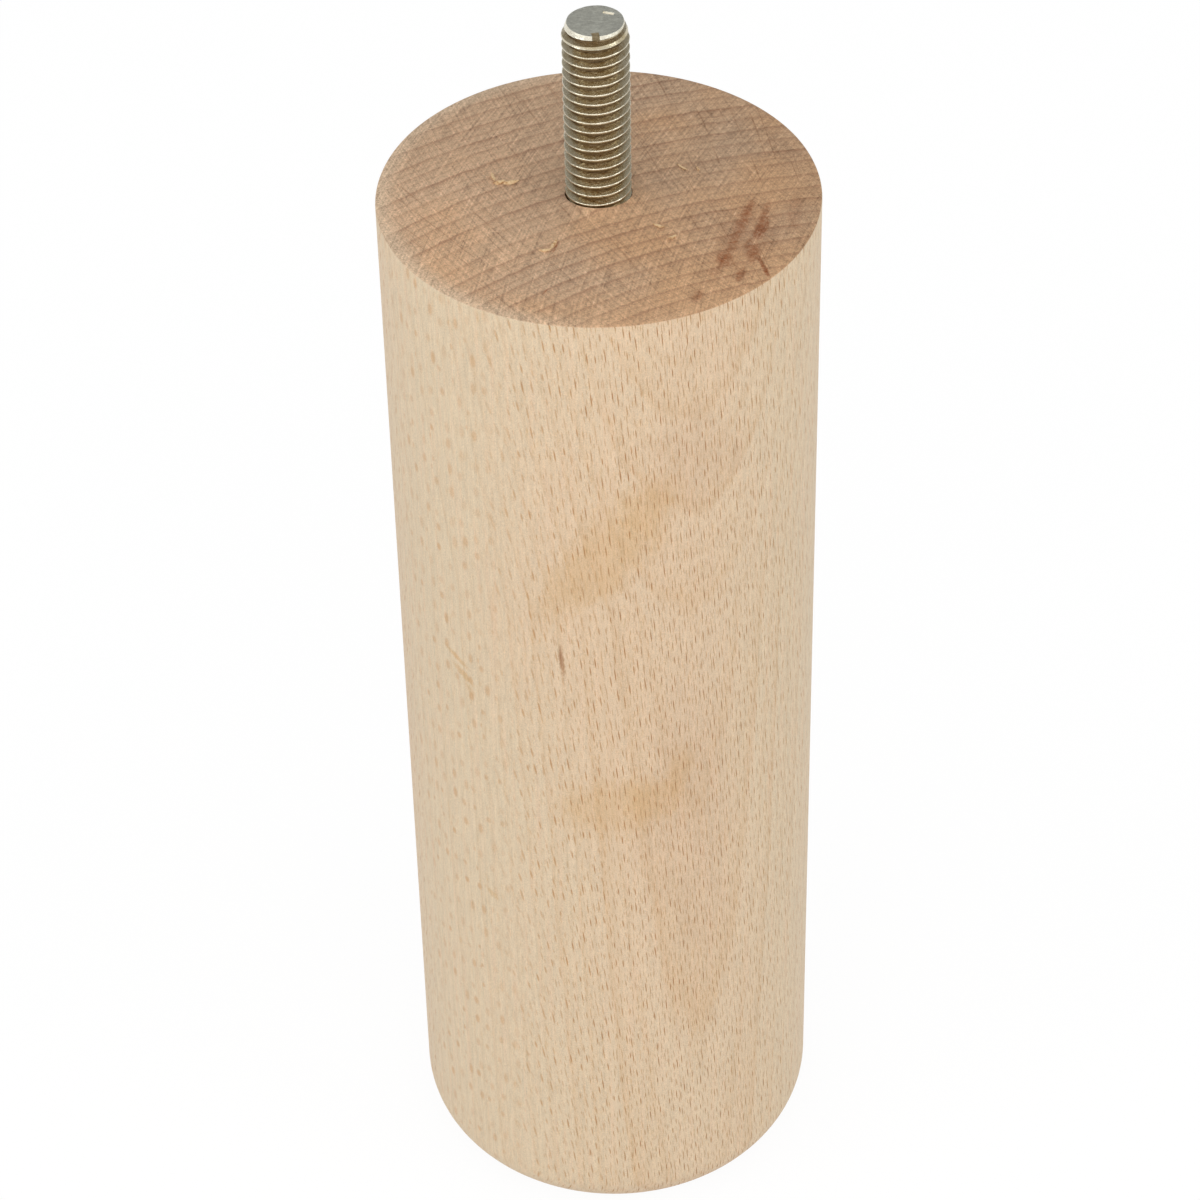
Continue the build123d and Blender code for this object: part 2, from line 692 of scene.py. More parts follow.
    def _side_colour(
        self, surface: Surface, leg_radius: float, rings: Signal, rays: Signal, facing: Signal, fibres: Signal
    ) -> Signal:
        """The colour of the turned side.

        Args:
            surface: the material under way.
            leg_radius: the leg's radius.
            rings: the lateness of the wood.
            rays: how much ray shows.
            facing: 1 where the face lies along the rings.
            fibres: fine streaks along the grain.

        Returns:
            The colour.
        """
        board, z = surface.board, surface.z
        cloud = surface.noise(self.cloud_grain)
        around = board.math("ARCTAN2", surface.x, 0.0 - surface.y) * leg_radius
        # Painted light: the side is painted paler and less warm near the floor, as bounce light from the
        # white floor, and towards its right-hand edge, as sheen.
        painted_bounce_and_sheen = board.largest(board.step(z, 80.0, 10.0) * 0.6, board.step(around, 8.0, 28.0) * 0.95)
        warmth = board.step(facing + cloud * 1.3, 0.15, 1.05) * (1 - painted_bounce_and_sheen)
        colour = board.mix(warmth, self.pale, self.warm)
        colour = board.mix(rings * (facing * facing * 0.22 + 0.26), colour, self.late)
        wide_edge = surface.noise(self.wide_edge_grain, 4.0, 0.68) * 1.65
        fine_edge = surface.noise(self.fine_edge_grain, 2.0, 0.6) * 1.2
        for patches, edge, tint in (
            (self.side_patches, wide_edge, self.tan),
            (self.dull_patches, wide_edge, self.dull),
            (self.side_flakes, fine_edge, self.tan),
            (self.dark_streaks, fine_edge, self.ray),
        ):
            for patch in patches:
                colour = board.mix(self._oval(board, around, z, patch, edge), colour, tint)
        streaks = surface.noise(self.streak_grain)
        colour = board.mix(board.step(streaks, -0.02, 0.25) * 0.35, colour, self.pink)
        mottle = surface.noise(self.mottle_grain, 2.0, 0.6)
        colour = board.mix(board.step(mottle, 0.0, 0.3) * 0.3, colour, self.tan)
        dashed = board.step(facing, 0.15, 0.5)
        shown = rays * dashed
        colour = board.mix(shown * (facing * 0.6 + 0.4), colour, self.pale_ray)
        colour = board.mix(shown * facing * facing * 0.72, colour, self.ray)
        flakes = self._dashes(board, around, z, self.flake)
        colour = board.mix(flakes * (1 - dashed) * 0.55, colour, self.pale_ray)
        # Painted light: the side is painted up to 2.5 % lighter towards its top; the other terms are the
        # wood's fibres, streaks, flecks and pores.
        lightness = 1.0 + board.step(z, 100.0, 145.0) * 0.025 + fibres * 0.28 + streaks * 0.14
        lightness = lightness + surface.noise(self.fleck_grain) * 0.2
        return board.shade(colour, lightness + surface.noise(self.pore_grain, 2.0, 0.6) * 0.6)

    @staticmethod
    def _oval(board: Board, across: Signal, up: Signal, patch: Patch, edge: Signal) -> Signal:
        """Where a stained spot shows.

        Args:
            board: the node tree.
            across: the place across the surface.
            up: the place up it.
            patch: the spot.
            edge: noise that makes its edge ragged.

        Returns:
            How much of it shows.
        """
        turn = math.radians(patch.turn)
        flat_x, flat_y = across - patch.across, up - patch.up
        own_x = flat_x * (math.cos(turn) / patch.wide) + flat_y * (math.sin(turn) / patch.wide)
        own_y = flat_y * (math.cos(turn) / patch.tall) - flat_x * (math.sin(turn) / patch.tall)
        out = board.math("SQRT", own_x ** 2.0 + own_y ** 2.0)
        return board.step(out + edge, 1.25, 0.35) * patch.strength

    def _end_rays(self, surface: Surface) -> Signal:
        """Rays as the sawn end shows them: fine lines that run out from the middle of the tree.

        Args:
            surface: the material under way.

        Returns:
            How much ray shows.
        """
        board = surface.board
        sway = surface.noise(self.end_sway_grain) * 0.5
        around = surface.bearing(self.pith) * math.hypot(*self.pith) + sway
        place = board.joined(around, surface.reach(self.pith))
        return board.step(board.noise(place, self.end_ray_grain, 2.0, 0.75), 0.07, 0.22)

    def _scratches(self, surface: Surface) -> Signal:
        """Scratches that the saw left on the end, in two sets of wide arcs.

        Args:
            surface: the material under way.

        Returns:
            Their height about zero.
        """
        board = surface.board
        total: Feed = 0.0
        for centre_x, centre_y, share in self.saws:
            along = board.math("ARCTAN2", surface.y - centre_y, centre_x - surface.x) * self.saw_reach
            place = board.joined(surface.reach((centre_x, centre_y)), along)
            total = board.noise(place, self.scratch_grain, 3.0, 0.7) * share + total
        return total

    def _end_colour(
        self, surface: Surface, rings: Signal, rays: Signal, crumbs: Signal, scratches: Signal
    ) -> Signal:
        """The colour of the sawn end.

        Args:
            surface: the material under way.
            rings: the lateness of the wood.
            rays: how much ray shows.
            crumbs: fine torn grain.
            scratches: the height of the saw's scratches.

        Returns:
            The colour.
        """
        board, x, y = surface.board, surface.x, surface.y
        cloud = surface.noise(self.end_cloud_grain)
        warmth = board.step(cloud * 1.5 + x * 0.012 - y * 0.012, -0.25, 0.5)
        colour = board.mix(warmth, self.end, self.end_warm)
        colour = board.mix(rings * 0.66, colour, self.end_late)
        colour = board.mix(rays * 0.4, colour, self.end_ray)
        torn = surface.noise(self.torn_grain, 2.0, 0.6)
        edge = surface.noise(self.end_edge_grain, 3.0, 0.65) * 1.05
        # Stains, and the painted shadow of a torn fibre, in the same brown.
        for stain_and_painted_shadow in self.end_stains_and_painted_shadow:
            share = self._oval(board, x, y, stain_and_painted_shadow, edge) * (0.72 + torn * 1.6)
            colour = board.mix(share, colour, self.stain_and_painted_shadow)
        colour = board.mix(board.step(scratches, -0.12, -0.3) * 0.34, colour, self.end_late)
        rim = board.step(surface.reach(), 23.2, 25.8) * board.step(x, 6.0, -12.0) * (0.45 + crumbs)
        scraped = board.largest(board.step(crumbs, 0.15, 0.27) * 0.6, board.step(scratches, 0.12, 0.3) * 0.32)
        colour = board.mix(board.largest(scraped, rim), colour, self.fuzz)
        # Painted shade: the sawn end is painted darker towards its back and its right, where the light falls
        # off.
        painted_light_falloff = 0.93 - y * 0.003 - x * 0.0038
        rubbed = 1.0 + crumbs * 1.2 + scratches * 1.0 + torn * 0.5 + cloud * 0.25
        return board.shade(colour, rubbed * painted_light_falloff)


@dataclass(frozen=True)
class FibreFinish:
    """Fresh pale beech fibres that the saw tore up."""

    light: Colour = tone(236, 205, 160)
    dark: Colour = tone(196, 146, 96)
    grain: Point = (3.0, 3.0, 3.0)

    def build(self) -> bpy.types.Material:
        """Makes the material.

        Returns:
            The material.
        """
        surface = Surface("torn_beech")
        streaks = surface.noise(self.grain, 3.0, 0.6)
        colour = surface.board.mix(surface.board.step(streaks, -0.05, 0.2), self.light, self.dark)
        return surface.finish(streaks * 0.05, {
            "Base Color": colour, "Roughness": 0.7 + streaks * 0.2, "Specular IOR Level": 0.3})


@dataclass(frozen=True)
class SteelFinish:
    """Bright plating on a rolled thread, dull on its sheared end; grime with painted shade and a painted
    reflection of the wood in its hollows and roots, and painted highlights on its crests and tip.
    """

    bright: Colour = tone(200, 190, 164)
    worn: Colour = tone(184, 168, 132)
    painted_highlight: Colour = tone(230, 224, 206)
    grime_and_painted_reflection: Colour = tone(140, 110, 66)
    dirt_and_painted_shade: Colour = tone(92, 68, 38)
    sheared: Colour = tone(201, 203, 197)
    cone_radius: float = 3.25
    cone_slope: float = 0.38
    grain_relief: float = 0.004
    dent_relief: float = 0.075
    cloud_relief: float = 0.02
    rough: float = 0.25
    cloud_grain: Point = (0.6, 0.6, 0.6)
    fine_grain: Point = (7.0, 7.0, 7.0)
    dent_grain: Point = (2.2, 2.2, 2.2)
    sheared_grain: Point = (1.6, 3.4, 1.0)

    def build(self, crest: float, root: float, end: float) -> bpy.types.Material:
        """Makes the material.

        Args:
            crest: the radius of the thread's crests in millimetres.
            root: the radius of its roots.
            end: the height of the stud's end.

        Returns:
            The material.
        """
        surface = Surface("bright_plating")
        board, y, z, radius = surface.board, surface.y, surface.z, surface.reach()
        cloud = surface.noise(self.cloud_grain, 3.0, 0.6)
        grain = surface.noise(self.fine_grain, 3.0, 0.65)
        dents = surface.noise(self.dent_grain)
        depth = board.step(radius + grain * 0.2, crest - 0.15, root)
        dirty_shaded_root = board.step(radius + grain * 0.15, root + 0.24, root + 0.04)
        low = board.step(z + cloud * 8.0, end - 3.0, end - 22.0)
        top = board.step(z, end - 0.05, end - 0.01)
        # Painted highlight: where the crests' tone is raised towards a bright one.
        crown = board.step(radius + grain * 0.12, crest - 0.16, crest - 0.04)
        cone_at = radius + (z - end) * self.cone_slope
        cone = board.step(cone_at, self.cone_radius - 0.16, self.cone_radius - 0.06)
        cone = board.largest(cone, board.step(y, 0.4, 0.8))
        tip = board.step(z + grain * 0.3, end - 0.8, end - 0.6)
        colour = board.mix(board.step(cloud, -0.1, 0.25), self.bright, self.worn)
        # Grime and painted reflection: the hollows are painted olive brown, partly grime and partly the brown
        # of the wood they reflect, more on the lower turns near the wood.
        colour = board.mix(depth * (0.4 + low * 0.4) * (1 - tip), colour, self.grime_and_painted_reflection)
        # Dirt and painted shade: the roots are painted dark brown, partly dirt and partly the shade deep in
        # them, which also hides the line their hollow would reflect.
        colour = board.mix(dirty_shaded_root * 0.85 * (1 - tip), colour, self.dirt_and_painted_shade)
        # Painted highlights: the crests are painted half-way to a bright tone, and the chamfer and the back
        # of the tip with its struck nick fully.
        colour = board.mix(board.largest(crown * 0.5, tip * cone), colour, self.painted_highlight)
        colour = board.mix(top, colour, self.sheared)
        mottle = surface.noise(self.sheared_grain, 4.0, 0.65)
        colour = board.shade(colour, 1.0 + grain * 0.6 + mottle * top * 0.8)
        height = grain * self.grain_relief + dents * self.dent_relief + cloud * self.cloud_relief
        return surface.finish(height, {
            "Base Color": colour, "Metallic": 1.0,
            "Roughness": self.rough + grain * 0.45 + cloud * 0.1 + top * 0.3 + dirty_shaded_root * 0.3})


@dataclass
class TurnedLeg:
    """The turned leg: a round bar with a rounded floor edge and a sawn end that is drilled for the bolt."""

    radius: float
    height: float
    floor_round: float = 7.5
    floor_segments: int = 18
    rim_break: float = 0.3
    rim_segments: int = 2
    mouth_radius: float = 4.05
    mouth_depth: float = 2.0
    bore_radius: float = 3.85
    bore_end: float = 111.5
    drill_point: float = 2.31
    sides: int = 512
    side_cuts: int = 30
    end_cuts: int = 56
    saw_arbor: Pair = SAW_ARBOR
    saw_pitch: float = 1.3
    saw_wobble: float = 6.0
    saw_depth: float = 0.03
    tear_size: float = 0.9
    tear_depth: float = 0.05
    lip_lift: float = 0.6
    lip_width: float = 2.2
    lip_radius: float = 3.94
    smooth_below: float = 35.0

    def build(self) -> bpy.types.Object:
        """Shapes the leg.

        Returns:
            The leg's object.
        """
        bench = Bench.bar("turned_leg", self.radius, 0.0, self.height, self.sides)
        with bench.editing():
            bench.pick_level(Pick.EDGES, 0.0)
            bpy.ops.mesh.bevel(offset=self.floor_round * MM, segments=self.floor_segments, affect="EDGES")
            bench.pick_level(Pick.EDGES, self.height)
            bpy.ops.mesh.bevel(offset=self.rim_break * MM, segments=self.rim_segments, affect="EDGES")
            self._drill(bench)
            self._divide(bench)
        self._saw(bench)
        self._raise_lip(bench)
        return bench.finish(self.smooth_below)

    def _drill(self, bench: Bench) -> None:
        """Sinks the mouth, the bore and its drill point into the sawn end.

        Args:
            bench: the leg, in edit mode.
        """
        bench.pick_level(Pick.FACES, self.height)
        bpy.ops.mesh.inset(thickness=(self.radius - self.rim_break - self.mouth_radius) * MM)
        bench.push(-self.mouth_depth)
        bpy.ops.mesh.inset(thickness=(self.mouth_radius - self.bore_radius) * MM)
        bench.push(-(self.height - self.mouth_depth - self.bore_end))
        bench.push(-self.drill_point)
        bpy.ops.mesh.merge(type="CENTER")

    def _divide(self, bench: Bench) -> None:
        """Divides the sawn face in rings and the side in bands.

        Args:
            bench: the leg, in edit mode.
        """
        middle = (self.mouth_radius + self.radius) / 2 * MM
        top = (self.height - TOUCH) * MM
        bench.pick(Pick.EDGES, lambda ends: all(end.z > top for end in ends)
                   and min(end.xy.length for end in ends) < middle < max(end.xy.length for end in ends))
        bpy.ops.mesh.subdivide(number_cuts=self.end_cuts)
        centre = self.height / 2 * MM
        wall = (self.radius - 1.0) * MM
        bench.pick(Pick.EDGES, lambda ends: min(end.z for end in ends) < centre < max(end.z for end in ends)
                   and all(end.xy.length > wall for end in ends))
        bpy.ops.mesh.subdivide(number_cuts=self.side_cuts)

    def _saw(self, bench: Bench) -> None:
        """Leaves the saw's marks and torn grain on the sawn face.

        Args:
            bench: the leg.
        """
        inner, outer = (self.mouth_radius + 0.05) * MM, (self.radius - self.rim_break / 2) * MM
        low = (self.height - self.rim_break / 2) * MM
        with bench.editing():
            bench.pick(Pick.VERTS, lambda spot: spot[0].z > low and inner < spot[0].xy.length < outer)
            bpy.ops.object.vertex_group_assign_new()
        group = bench.piece.vertex_groups[-1]
        group.name = "sawn_face"
        bpy.ops.object.empty_add(location=(self.saw_arbor[0] * MM, self.saw_arbor[1] * MM, self.height * MM))
        arbor = bpy.context.object
        arbor.scale = (self.saw_pitch * MM * RING_RATE / math.tau,) * 3
        bpy.context.view_layer.update()
        marks = bpy.data.textures.new("saw_marks", "WOOD")
        marks.wood_type, marks.noise_scale, marks.turbulence = "RINGNOISE", 2.0, self.saw_wobble
        torn = bpy.data.textures.new("torn_grain", "CLOUDS")
        torn.noise_scale, torn.noise_depth = self.tear_size * MM, 2
        common = {"vertex_group": group.name, "direction": "Z", "mid_level": 1.0}
        bench.modify("DISPLACE", {**common, "texture": marks, "texture_coords": "OBJECT",
                                  "texture_coords_object": arbor, "strength": self.saw_depth * MM})
        bench.modify("DISPLACE", {**common, "texture": torn, "texture_coords": "LOCAL",
                                  "strength": self.tear_depth * MM})
        bpy.data.objects.remove(arbor)
        bpy.data.textures.remove(marks)
        bpy.data.textures.remove(torn)

    def _raise_lip(self, bench: Bench) -> None:
        """Lifts the wood that the bolt pushed up before it, at the front of the mouth.

        Args:
            bench: the leg.
        """
        low = (self.height - self.rim_break / 2) * MM
        for vertex in bench.piece.data.vertices:
            out = vertex.co.xy.length / MM
            near = 1 - (out - self.mouth_radius) / self.lip_width
            if vertex.co.z > low and near > 0:
                front = max(0.0, -vertex.co.y / MM / out)
                vertex.co.z += self.lip_lift * MM * near ** 2 * front
                if out < self.mouth_radius + TOUCH:
                    vertex.co.xy *= self.lip_radius / out

    def dress(self, piece: bpy.types.Object) -> None:
        """Gives the leg its beech and its place in the frame.

        Args:
            piece: the leg's object.
        """
        piece.data.materials.clear()
        piece.data.materials.append(BeechFinish().build(self.radius, self.height, self.floor_round))
        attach(piece, BODY)
        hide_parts("leg_body")


@dataclass(frozen=True)
class Sliver:
    """One torn fibre on the sawn face: where it starts and ends, and its width, in millimetres."""

    start: Pair
    end: Pair
    width: float
    lift: float = 0.25


@dataclass
class TornFibres:
    """The splinters that the saw left standing on the sawn face."""

    level: float
    sunk: float = 0.12
    flatness: float = 0.8
    cuts: int = 5
    tip_sizes: Point = (1.0, 0.18, 0.3)
    neck_sizes: Point = (1.0, 0.75, 0.8)
    shake: float = 0.22
    edge_round: float = 0.12
    smooth_below: float = 50.0
    slivers: tuple[Sliver, ...] = (
        Sliver((-12.5, 4.6), (-12.1, 2.2), 0.34, 0.50),
        Sliver((-12.3, 2.5), (-10.9, 2.3), 0.40, 0.30),
        Sliver((-11.4, 2.4), (-9.2, 2.2), 0.36, 0.45),
        Sliver((-4.9, -9.0), (-5.7, -11.9), 0.30, 0.60),
        Sliver((-7.0, -11.1), (-5.6, -11.6), 0.30, 0.35),
        Sliver((6.2, -6.4), (7.5, -7.6), 0.30, 0.35),
        Sliver((8.8, -8.7), (7.9, -9.9), 0.30, 0.45),
        Sliver((9.3, 5.6), (10.4, 4.0), 0.22, 0.25),
        Sliver((11.5, 5.0), (11.9, 3.9), 0.22, 0.25),
    )

    def build(self) -> bpy.types.Object:
        """Shapes every splinter and joins them in one piece.

        Returns:
            Their object.
        """
        benches = [self._splinter(number, sliver) for number, sliver in enumerate(self.slivers)]
        bpy.ops.object.select_all(action="DESELECT")
        for bench in benches:
            bench.piece.select_set(True)
        bpy.context.view_layer.objects.active = benches[0].piece
        bpy.ops.object.join()
        benches[0].piece.name = benches[0].piece.data.name = "torn_fibres"
        return benches[0].finish(self.smooth_below)

    def _splinter(self, number: int, sliver: Sliver) -> Bench:
        """Shapes one splinter, pointed at both ends and lifted at one.

        Args:
            number: its number.
            sliver: its place and width.

        Returns:
            The bench that holds it.
        """
        start, end = Vector(sliver.start), Vector(sliver.end)
        run = end - start
        bench = Bench.block(f"splinter_{number}", (run.length, sliver.width, sliver.width * self.flatness))
        half = run.length / 2 * MM
        with bench.editing():
            bench.pick(Pick.EDGES, lambda ends: abs(ends[0].x - ends[1].x) > half)
            bpy.ops.mesh.subdivide(number_cuts=self.cuts)
            for side in (-1, 1):
                bench.pick(Pick.VERTS, lambda spot, side=side: spot[0].x * side > half * 0.9)
                bpy.ops.transform.resize(value=self.tip_sizes)
                bench.pick(Pick.VERTS, lambda spot, side=side: half * 0.5 < spot[0].x * side < half * 0.9)
                bpy.ops.transform.resize(value=self.neck_sizes)
        shaker = random.Random(number)
        for vertex in bench.piece.data.vertices:
            along = (vertex.co.x / half + 1) / 2
            vertex.co.y += shaker.uniform(-self.shake, self.shake) * sliver.width * MM
            vertex.co.z += along ** 2 * sliver.lift * MM
        turn = Matrix.Rotation(math.atan2(run.y, run.x), 4, "Z")
        middle = (start + end) / 2
        base = self.level - self.sunk + sliver.width * self.flatness / 2
        bench.piece.data.transform(Matrix.Translation((middle.x * MM, middle.y * MM, base * MM)) @ turn)
        bench.modify("BEVEL", {
            "width": sliver.width * self.edge_round * MM, "segments": 1, "limit_method": "ANGLE"})
        return bench

    @staticmethod
    def dress(piece: bpy.types.Object) -> None:
        """Gives the splinters their finish and their place in the frame.

        Args:
            piece: their object.
        """
        piece.data.materials.clear()
        piece.data.materials.append(FibreFinish().build())
        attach(piece, BODY)


@dataclass(frozen=True)
class Nick:
    """A flat spot struck in the bolt: the middle of its floor, its sizes in millimetres and its turns."""

    place: Point
    width: float
    length: float
    turn: float
    tilt: float


@dataclass
class HangerBolt:
    """The hanger bolt: a machine thread outside the leg, a shank, a wood thread and a point inside it."""

    crest: float
    end: float
    point_end: float
    pitch: float = 1.25
    taper: float = 0.65
    taper_length: float = 1.7
    crest_round: float = 0.16
    root_round: float = 0.18
    thread_start: float = 148.1
    shank_radius: float = 3.55
    shoulder: float = 140.5
    screw_crest: float = 3.8
    screw_root: float = 2.7
    screw_pitch: float = 3.2
    point_start: float = 120.5
    steps: int = 72
    thread_turn: float = 6.5
    dent_size: float = 0.7
    dent_depth: float = 0.07
    spare: float = 0.1
    shank_lap: float = 0.4
    screw_lap: float = 0.3
    point_lap: float = 0.5
    point_step: float = 0.02
    sides: int = 128
    shank_sides: int = 96
    point_sides: int = 64
    smooth_below: float = 32.0
    nicks: tuple[Nick, ...] = (
        Nick((0.0, -2.9, -0.27), 0.85, 2.2, 9.0, 30.0),
        Nick((1.6, 1.75, -0.08), 1.3, 0.5, -20.0, 48.0),
    )

    @property
    def root(self) -> float:
        """The radius of the machine thread's roots."""
        flank = self.pitch / 2 - math.sin(math.pi / 3) * (self.crest_round + self.root_round)
        return self.crest - (self.crest_round + self.root_round) / 2 - flank * math.tan(math.pi / 3)

    def build(self) -> bpy.types.Object:
        """Shapes the bolt from its threaded and plain lengths.

        Returns:
            The bolt's object.
        """
        stud = self._thread("hanger_bolt_thread", self._machine_section(), self.pitch,
                            (self.thread_start, self.end))
        stud.work(self._blank(), Join.KEEP_SHARED)
        for nick in self.nicks:
            stud.work(self._striker(nick), Join.CUT)
        shank_top = self.thread_start + self.shank_lap
        shank = Bench.bar("shank", self.shank_radius, self.shoulder, shank_top, self.shank_sides)
        stud.work(shank, Join.ADD)
        screw_top = self.shoulder + self.screw_lap
        screw = self._thread("wood_thread", self._wood_section(), self.screw_pitch,
                             (self.point_start, screw_top))
        blank_radius = self.screw_crest + self.spare
        blank = Bench.bar("screw_blank", blank_radius, self.point_start, screw_top, self.sides)
        screw.work(blank, Join.KEEP_SHARED)
        stud.work(screw, Join.ADD)
        stud.work(self._point(), Join.ADD)
        uneven = bpy.data.textures.new("rolled_steel", "CLOUDS")
        uneven.noise_scale = self.dent_size * MM
        stud.modify("DISPLACE", {
            "texture": uneven, "texture_coords": "LOCAL", "strength": self.dent_depth * MM})
        bpy.data.textures.remove(uneven)
        return stud.finish(self.smooth_below)

    def _blank(self) -> Bench:
        """The turned blank that the machine thread stays inside, tapered at its end.

        Returns:
            The bench that holds it.
        """
        radius = self.crest + self.spare
        shoulder = self.end - self.taper_length * (1 + self.spare / self.taper)
        blank = Bench.bar("stud_blank", radius, self.thread_start, shoulder, self.sides)
        shrink = (self.crest - self.taper) / radius
        with blank.editing():
            blank.pick_level(Pick.FACES, shoulder)
            blank.push(self.end - shoulder)
            bpy.ops.transform.resize(value=(shrink, shrink, 1.0))
        return blank

    def _striker(self, nick: Nick) -> Bench:
        """The block whose lower face strikes a nick.

        Args:
            nick: the nick, placed from the middle of the stud's end.

        Returns:
            The bench that holds it.
        """
        bench = Bench.block("striker", (nick.width, nick.length, nick.length))
        turn = Matrix.Rotation(math.radians(nick.turn), 4, "Z")
        turn = turn @ Matrix.Rotation(math.radians(nick.tilt), 4, "X")
        place = Vector((nick.place[0], nick.place[1], self.end + nick.place[2])) * MM
        lift = Matrix.Translation((0, 0, nick.length / 2 * MM))
        bench.piece.data.transform(Matrix.Translation(place) @ turn @ lift)
        return bench

    def _machine_section(self) -> list[Pair]:
        """The section of one turn of the machine thread, with a rounded crest and root.

        Returns:
            Its (radius, height) points from root to root.
        """
        tip = self.crest - self.crest_round
        crest = [(tip + self.crest_round * math.cos(turn), self.crest_round * math.sin(turn))
                 for turn in map(math.radians, (15, 30, 45, 60))]
        hollow = self.root + self.root_round
        root = [(hollow - self.root_round * math.cos(turn), self.pitch / 2 - self.root_round * math.sin(turn))
                for turn in map(math.radians, (60, 40, 20, 0))]
        side = crest + root
        return [*self._below(side), (self.crest, 0.0), *side]

    def _wood_section(self) -> list[Pair]:
        """The section of one turn of the wood thread: a thin ridge on a wide root.

        Returns:
            Its (radius, height) points from root to root.
        """
        half = self.screw_pitch / 2
        side = [(self.screw_crest, 0.1), (self.screw_root + 0.12, 0.62), (self.screw_root, 0.85),
                (self.screw_root, half)]
        return [*self._below(side), *side]

    @staticmethod
    def _below(side: list[Pair]) -> list[Pair]:
        """The lower side of a turn of thread, from its upper side."""
        return [(radius, -height) for radius, height in reversed(side)]

    def _thread(
        self, name: str, section: list[Pair], pitch: float, reach: Pair
    ) -> Bench:
        """Winds a section into a closed threaded bar, with a turn to spare beyond both ends.

        Args:
            name: the name of the piece.
            section: the section of one turn.
            pitch: the rise of one turn.
            reach: the heights of the lower and upper ends that it is cut to later.

        Returns:
            The bench that holds it.
        """
        low = reach[0] - 1.5 * pitch
        bench = Bench.chain(name, [(radius, low + height) for radius, height in section])
        turns = math.ceil((reach[1] - reach[0]) / pitch) + 3
        bench.modify("SCREW", {
            "axis": "Z", "angle": math.tau, "screw_offset": pitch * MM, "iterations": turns,
            "steps": self.steps, "render_steps": self.steps, "use_normal_calculate": True})
        bench.piece.data.transform(Matrix.Rotation(math.radians(self.thread_turn), 4, "Z"))
        with bench.editing():
            bpy.ops.mesh.select_all(action="SELECT")
            bpy.ops.mesh.remove_doubles(threshold=THREAD_MERGE * MM)
        bench.close_ends(sum(reach) / 2)
        return bench

    def _point(self) -> Bench:
        """The point of the screw end.

        Returns:
            The bench that holds it.
        """
        radius, top = self.screw_root - self.point_step, self.point_start + self.point_lap
        bench = Bench.bar("screw_point", radius, self.point_start, top, self.point_sides)
        with bench.editing():
            bench.pick_level(Pick.FACES, self.point_start)
            bench.push(self.point_end - self.point_start)
            bpy.ops.mesh.merge(type="CENTER")
        return bench

    def dress(self, piece: bpy.types.Object) -> None:
        """Gives the bolt its plating and its place in the frame.

        Args:
            piece: the bolt's object.
        """
        piece.name = piece.data.name = "threaded_bolt"
        piece.data.materials.clear()
        piece.data.materials.append(SteelFinish().build(self.crest, self.root, self.end))
        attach(piece, BODY)
        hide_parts("hanger_bolt")


@dataclass(frozen=True)
class SoftLight:
    """A soft studio lamp: its place and size in metres, its power in watts and its colour."""

    name: str
    place: Point
    size: Pair
    power: float
    colour: tuple[float, float, float] = (1.0, 1.0, 1.0)


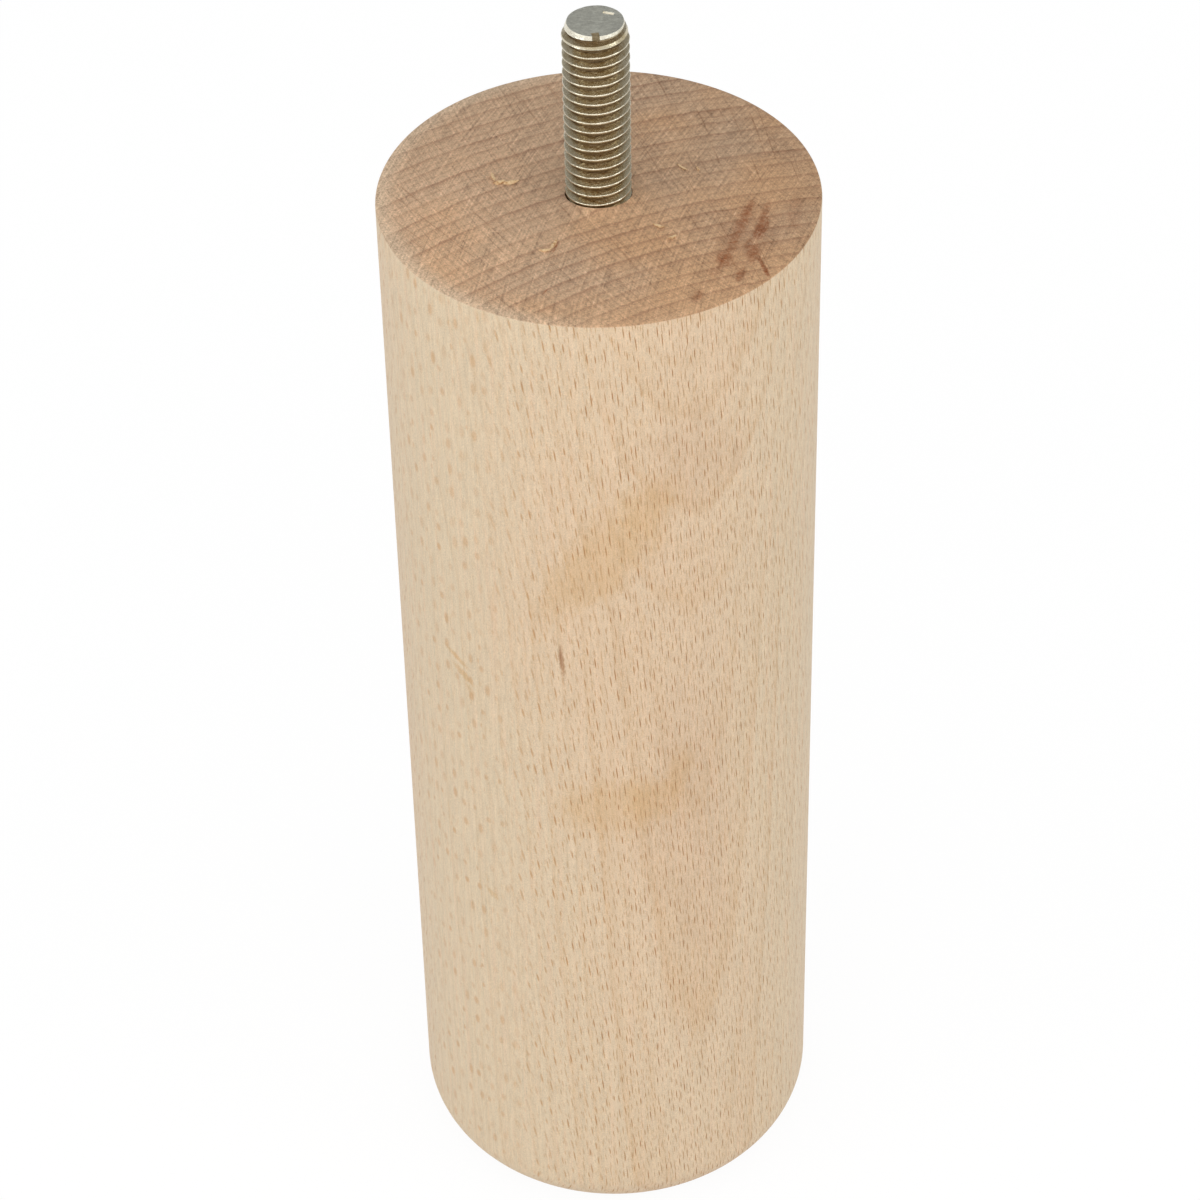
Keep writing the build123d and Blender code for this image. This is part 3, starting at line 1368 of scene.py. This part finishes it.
@dataclass
class Studio:
    """The white floor and world, the lamps and the camera."""

    floor_size: float = 24.0
    floor_tone: Colour = (0.85, 0.85, 0.85, 1.0)
    shadow_share: float = 0.10
    floor_glow: float = 1.03
    painted_floor_reflection: Colour = (0.40, 0.28, 0.16, 1.0)
    sky: float = 0.62
    back_shine: float = 0.42
    back_span: Pair = (0.3, -0.6)
    zenith_shine: Colour = (0.24, 0.18, 0.11, 1.0)
    zenith_span: Pair = (0.5, 0.92)
    aim: Point = (0.0, 0.0, 0.08)
    lamps: tuple[SoftLight, ...] = (
        SoftLight("front_lamp", (0.0, -1.35, 1.4), (2.0, 0.5), 9.0),
        SoftLight("left_lamp", (-1.5, -0.75, 0.8), (0.8, 0.8), 5.4, (0.92, 0.98, 1.0)),
        SoftLight("right_lamp", (1.5, -0.75, 0.8), (0.8, 0.8), 5.0, (0.92, 0.98, 1.0)),
    )
    eye: Point = (0.0, -0.38954582, 0.42086261)
    yaw: float = -0.00227
    pitch: float = -0.70751
    roll: float = -0.02214
    focal_pixels: float = 4059.5908
    photo_pixels: float = 1200.0
    sensor: float = 36.0
    clip_start: float = 0.01

    def build(self) -> None:
        """Sets up the floor, the world, the lamps, the camera and the view."""
        bpy.context.scene.view_settings.view_transform = "Standard"
        self._floor()
        self._world()
        for lamp in self.lamps:
            self._lamp(lamp)
        self._camera()

    def _floor(self) -> None:
        """The white floor, which keeps a soft shadow of the foot."""
        bpy.ops.object.select_all(action="DESELECT")
        bpy.ops.mesh.primitive_plane_add(size=self.floor_size)
        floor = bpy.context.object
        floor.name = floor.data.name = "white_floor"
        material = bpy.data.materials.new("white_floor")
        material.use_nodes = True
        board = Board(material.node_tree)
        camera, glossy, twice = self._paths(board)
        matt = board.out("BsdfDiffuse", None, {"Color": self.floor_tone})
        # Painted reflection: after two reflections off the metal the floor shows dim brown, not white,
        # standing in for the wood in the thread's hollows.
        colour = board.mix(twice * (1 - camera), WHITE, self.painted_floor_reflection)
        glow = board.out("Emission", None, {"Color": colour, "Strength": self.floor_glow})
        seen = board.largest(camera, glossy)
        surface = board.out("MixShader", None, {0: seen * (1 - self.shadow_share), 1: matt, 2: glow})
        board.node("OutputMaterial", None, {"Surface": surface})
        floor.data.materials.append(material)

    @staticmethod
    def _paths(board: Board) -> tuple[Signal, Signal, Signal]:
        """Tells apart the rays that meet the floor or the world.

        Args:
            board: the node tree.

        Returns:
            1 for rays that show what is behind the foot, for those off a shiny face, and for those off two.
        """
        path = board.node("LightPath")
        camera, through, glossy, depth = (
            Signal(board, path.outputs[name])
            for name in ("Is Camera Ray", "Is Transmission Ray", "Is Glossy Ray", "Glossy Depth"))
        return board.largest(camera, through), glossy, board.step(depth, 1.2, 1.8)

    def _world(self) -> None:
        """A white surround that lights the foot softly and, in the metal, is dimmer overhead and behind."""
        world = bpy.data.worlds.new("white_surround")
        world.use_nodes = True
        bpy.context.scene.world = world
        board = Board(world.node_tree)
        camera, glossy, _ = self._paths(board)
        split = board.node("SeparateXYZ", None, {0: board.out("TexCoord", output="Generated")})
        backwards, height = (Signal(board, split.outputs[number]) for number in (1, 2))
        shine = self.back_shine + board.step(backwards, *self.back_span) * (1 - self.back_shine)
        level = board.joined(shine, shine, shine)
        around = board.mix(board.step(height, *self.zenith_span), level, self.zenith_shine)
        colour = board.mix(glossy, (self.sky, self.sky, self.sky, 1.0), around)
        colour = board.mix(camera, colour, WHITE)
        surround = board.out("Background", None, {"Color": colour, "Strength": 1.0})
        board.node("OutputWorld", None, {"Surface": surround})

    def _lamp(self, lamp: SoftLight) -> None:
        """Hangs one soft lamp, aimed at the foot.

        Args:
            lamp: the lamp.
        """
        bpy.ops.object.light_add(type="AREA", location=lamp.place)
        made = bpy.context.object
        made.name = made.data.name = lamp.name
        made.data.shape = "RECTANGLE"
        made.data.size, made.data.size_y = lamp.size
        made.data.energy = lamp.power
        made.data.color = lamp.colour
        made.rotation_euler = (Vector(self.aim) - Vector(lamp.place)).to_track_quat("-Z", "Y").to_euler()

    def _camera(self) -> None:
        """Stands the camera where the photograph was taken from."""
        bpy.ops.object.camera_add(location=self.eye)
        camera = bpy.context.object
        camera.name = camera.data.name = "photo_camera"
        level = math.cos(self.pitch)
        forward = Vector((math.sin(self.yaw) * level, math.cos(self.yaw) * level, math.sin(self.pitch)))
        right = forward.cross(Vector((0, 0, 1))).normalized()
        up = right.cross(forward)
        right, up = (math.cos(self.roll) * right + math.sin(self.roll) * up,
                     math.cos(self.roll) * up - math.sin(self.roll) * right)
        turn = Matrix((right, up, -forward)).transposed()
        camera.rotation_euler = turn.to_euler()
        camera.data.sensor_width = self.sensor
        camera.data.lens = self.focal_pixels / self.photo_pixels * self.sensor
        camera.data.clip_start = self.clip_start
        bpy.context.scene.camera = camera


def report(piece: bpy.types.Object) -> None:
    """Logs a finished piece's name and size.

    Args:
        piece: the piece.
    """
    piece.data.calc_loop_triangles()
    size = " x ".join(f"{side / MM:.1f}" for side in piece.dimensions)
    LOG.info("%s: %d triangles, %s mm", piece.name, len(piece.data.loop_triangles), size)


def main() -> None:
    """Builds and dresses the foot in order."""
    logging.basicConfig(level=logging.INFO, format="%(name)s: %(message)s")
    Studio().build()
    leg_low, leg_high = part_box("leg_body")
    bolt_low, bolt_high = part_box("hanger_bolt")
    leg = TurnedLeg(radius=(leg_high.x - leg_low.x) / 2 / MM, height=leg_high.z / MM)
    fibres = TornFibres(level=leg.height)
    bolt = HangerBolt(
        crest=(bolt_high.x - bolt_low.x) / 2 / MM, end=bolt_high.z / MM, point_end=bolt_low.z / MM)
    for maker in (leg, fibres, bolt):
        piece = maker.build()
        maker.dress(piece)
        report(piece)


if __name__ == "__main__":
    main()
